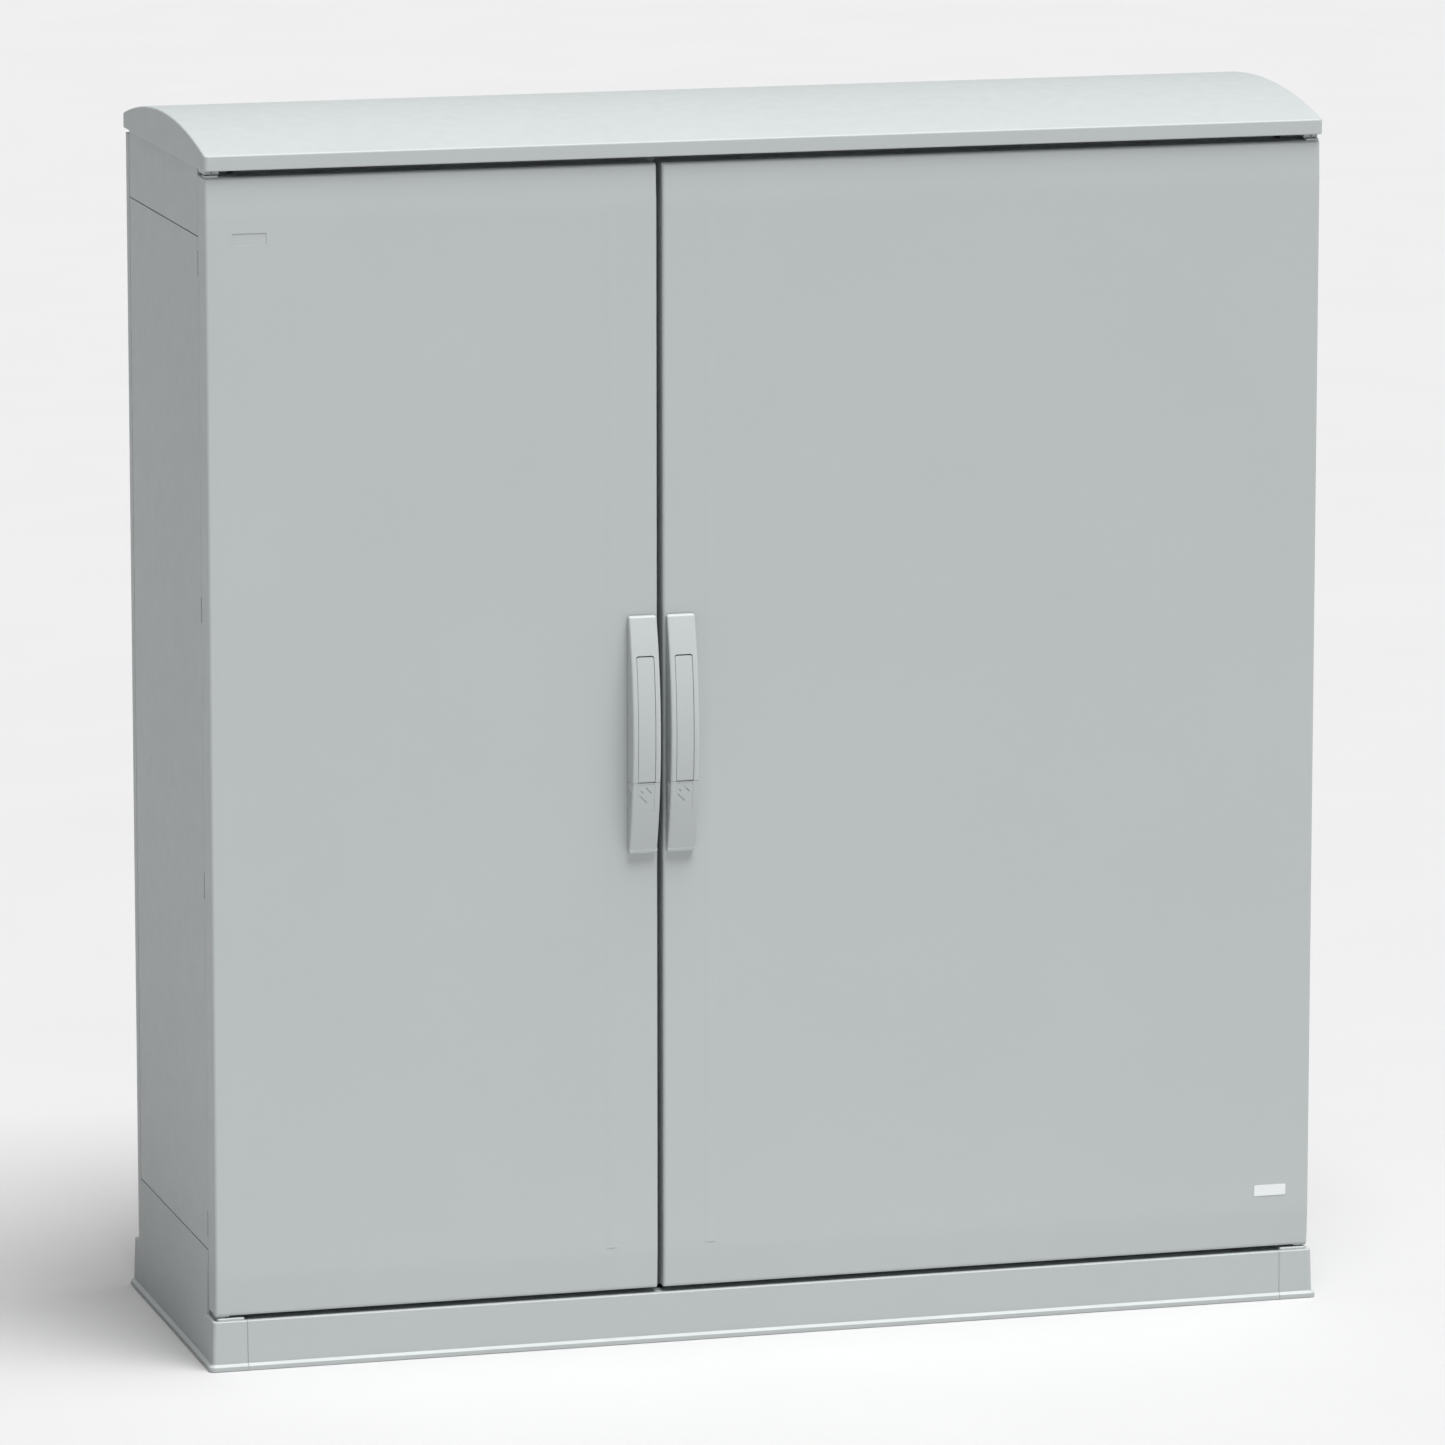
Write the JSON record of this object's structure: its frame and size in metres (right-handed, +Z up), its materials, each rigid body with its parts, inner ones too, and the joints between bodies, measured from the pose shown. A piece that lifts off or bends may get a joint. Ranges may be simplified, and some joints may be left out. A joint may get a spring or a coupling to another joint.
{
  "type": "outdoor distribution cabinet",
  "caption": "Floor-standing outdoor electrical distribution cabinet with unequal double doors, flush lever handles, arched canopy and low plinth.",
  "frame": {"origin": "on the floor, centred under the plinth foot", "axes": "+X across the doors to the right as seen from the front, +Y from the doors to the rear panel, +Z up"},
  "size_m": [1.267, 0.4385, 1.3502],
  "materials": {
    "grp_shell": "moulded polyester, light grey, fine satin",
    "grp_door": "moulded polyester, light grey, fine satin",
    "grp_plinth": "moulded polyester, light grey, fine satin",
    "handle_plastic": "reinforced polyamide, light grey, satin",
    "frame_profile": "pultruded polyester, light grey",
    "zinc_steel": "zinc plated",
    "hinge_steel": "stainless steel",
    "rubber": "black foam rubber, matt",
    "zinc_casting": "die-cast zinc, tumbled",
    "lock_steel": "die-cast zinc and steel, satin",
    "mounting_steel": "galvanised sheet",
    "coated_steel": "steel, light grey powder coat",
    "plate_plastic": "blank white laminate plate"
  },
  "bodies": {
    "cabinet": {"canopy": "grp_shell", "roof_panel": "grp_shell", "left_upper_side_frame": "grp_shell", "right_upper_side_frame": "grp_shell", "left_side_panel": "grp_shell", "right_side_panel": "grp_shell", "left_plinth_side": "grp_plinth", "right_plinth_side": "grp_plinth", "plinth_front_panel": "grp_plinth", "plinth_rear_panel": "grp_plinth", "rear_panel": "grp_shell", "corner_posts": "frame_profile", "top_front_rail": "frame_profile", "bottom_front_rail": "frame_profile", "centre_mullion": "frame_profile", "roof_screws": "zinc_steel", "hinge_brackets": "coated_steel", "hinge_pins": "hinge_steel", "floor_plate": "grp_shell", "cable_entry_membranes": "rubber", "left_mounting_plate": "mounting_steel", "right_mounting_plate": "mounting_steel", "mounting_plate_spacers": "zinc_steel", "mounting_plate_screws": "zinc_steel", "rod_keepers": "zinc_steel"},
    "left_door": {"left_door_panel": "grp_door", "left_door_inner_frame": "frame_profile", "left_door_seal": "rubber", "left_hinge_bushes": "hinge_steel", "left_handle_housing": "handle_plastic", "left_handle_gasket": "rubber", "left_handle_screws": "zinc_steel", "left_handle_pins": "zinc_steel", "left_gear_case": "zinc_casting", "left_rod_guides": "zinc_casting"},
    "left_handle_lever": {"left_handle_lever": "handle_plastic"},
    "left_lock_cover": {"left_lock_cover": "handle_plastic"},
    "left_lock_insert": {"left_lock_insert": "lock_steel", "left_lock_pinion": "lock_steel"},
    "left_upper_rod": {"left_upper_rod": "zinc_steel"},
    "left_lower_rod": {"left_lower_rod": "zinc_steel"},
    "right_door": {"right_door_panel": "grp_door", "right_door_inner_frame": "frame_profile", "right_door_seal": "rubber", "right_hinge_bushes": "hinge_steel", "right_handle_housing": "handle_plastic", "right_handle_gasket": "rubber", "right_handle_screws": "zinc_steel", "right_handle_pins": "zinc_steel", "right_gear_case": "zinc_casting", "right_rod_guides": "zinc_casting", "rating_plate": "plate_plastic"},
    "right_handle_lever": {"right_handle_lever": "handle_plastic"},
    "right_lock_cover": {"right_lock_cover": "handle_plastic"},
    "right_lock_insert": {"right_lock_insert": "lock_steel", "right_lock_pinion": "lock_steel"},
    "right_upper_rod": {"right_upper_rod": "zinc_steel"},
    "right_lower_rod": {"right_lower_rod": "zinc_steel"}
  },
  "joints": [
    {"name": "left_door_hinge", "type": "hinge", "parent": "cabinet", "child": "left_door", "pos_m": [-0.616, -0.193, 0.0596], "axis": [0, 0, -1], "range_deg": [0, 120]},
    {"name": "left_lever_pivot", "type": "hinge", "parent": "left_door", "child": "left_handle_lever", "pos_m": [-0.1465, -0.22364, 0.6313], "axis": [1, 0, 0], "range_deg": [0, 40]},
    {"name": "left_cover_pivot", "type": "hinge", "parent": "left_door", "child": "left_lock_cover", "pos_m": [-0.1465, -0.2076, 0.5519], "axis": [1, 0, 0], "range_deg": [0, 90]},
    {"name": "left_lock_turn", "type": "hinge", "parent": "left_door", "child": "left_lock_insert", "pos_m": [-0.1465, -0.1905, 0.608], "axis": [0, 1, 0], "range_deg": [0, 90]},
    {"name": "left_upper_rod_slide", "type": "slide", "parent": "left_door", "child": "left_upper_rod", "axis": [0, 0, 1], "range_m": [0, 0.01178]},
    {"name": "left_lower_rod_slide", "type": "slide", "parent": "left_door", "child": "left_lower_rod", "axis": [0, 0, -1], "range_m": [0, 0.01178]},
    {"name": "right_door_hinge", "type": "hinge", "parent": "cabinet", "child": "right_door", "pos_m": [0.616, -0.193, 0.0596], "axis": [0, 0, 1], "range_deg": [0, 120]},
    {"name": "right_lever_pivot", "type": "hinge", "parent": "right_door", "child": "right_handle_lever", "pos_m": [-0.1035, -0.22364, 0.6313], "axis": [1, 0, 0], "range_deg": [0, 40]},
    {"name": "right_cover_pivot", "type": "hinge", "parent": "right_door", "child": "right_lock_cover", "pos_m": [-0.1035, -0.2076, 0.5519], "axis": [1, 0, 0], "range_deg": [0, 90]},
    {"name": "right_lock_turn", "type": "hinge", "parent": "right_door", "child": "right_lock_insert", "pos_m": [-0.1035, -0.1905, 0.608], "axis": [0, -1, 0], "range_deg": [0, 90]},
    {"name": "right_upper_rod_slide", "type": "slide", "parent": "right_door", "child": "right_upper_rod", "axis": [0, 0, 1], "range_m": [0, 0.01178]},
    {"name": "right_lower_rod_slide", "type": "slide", "parent": "right_door", "child": "right_lower_rod", "axis": [0, 0, -1], "range_m": [0, 0.01178]}
  ],
  "couplings": [
    {"joint": "left_lock_turn", "follows": "left_upper_rod_slide", "rad_per_m": 133.33},
    {"joint": "left_lower_rod_slide", "follows": "left_upper_rod_slide", "ratio": 1},
    {"joint": "right_lock_turn", "follows": "right_upper_rod_slide", "rad_per_m": 133.33},
    {"joint": "right_lower_rod_slide", "follows": "right_upper_rod_slide", "ratio": 1}
  ]
}
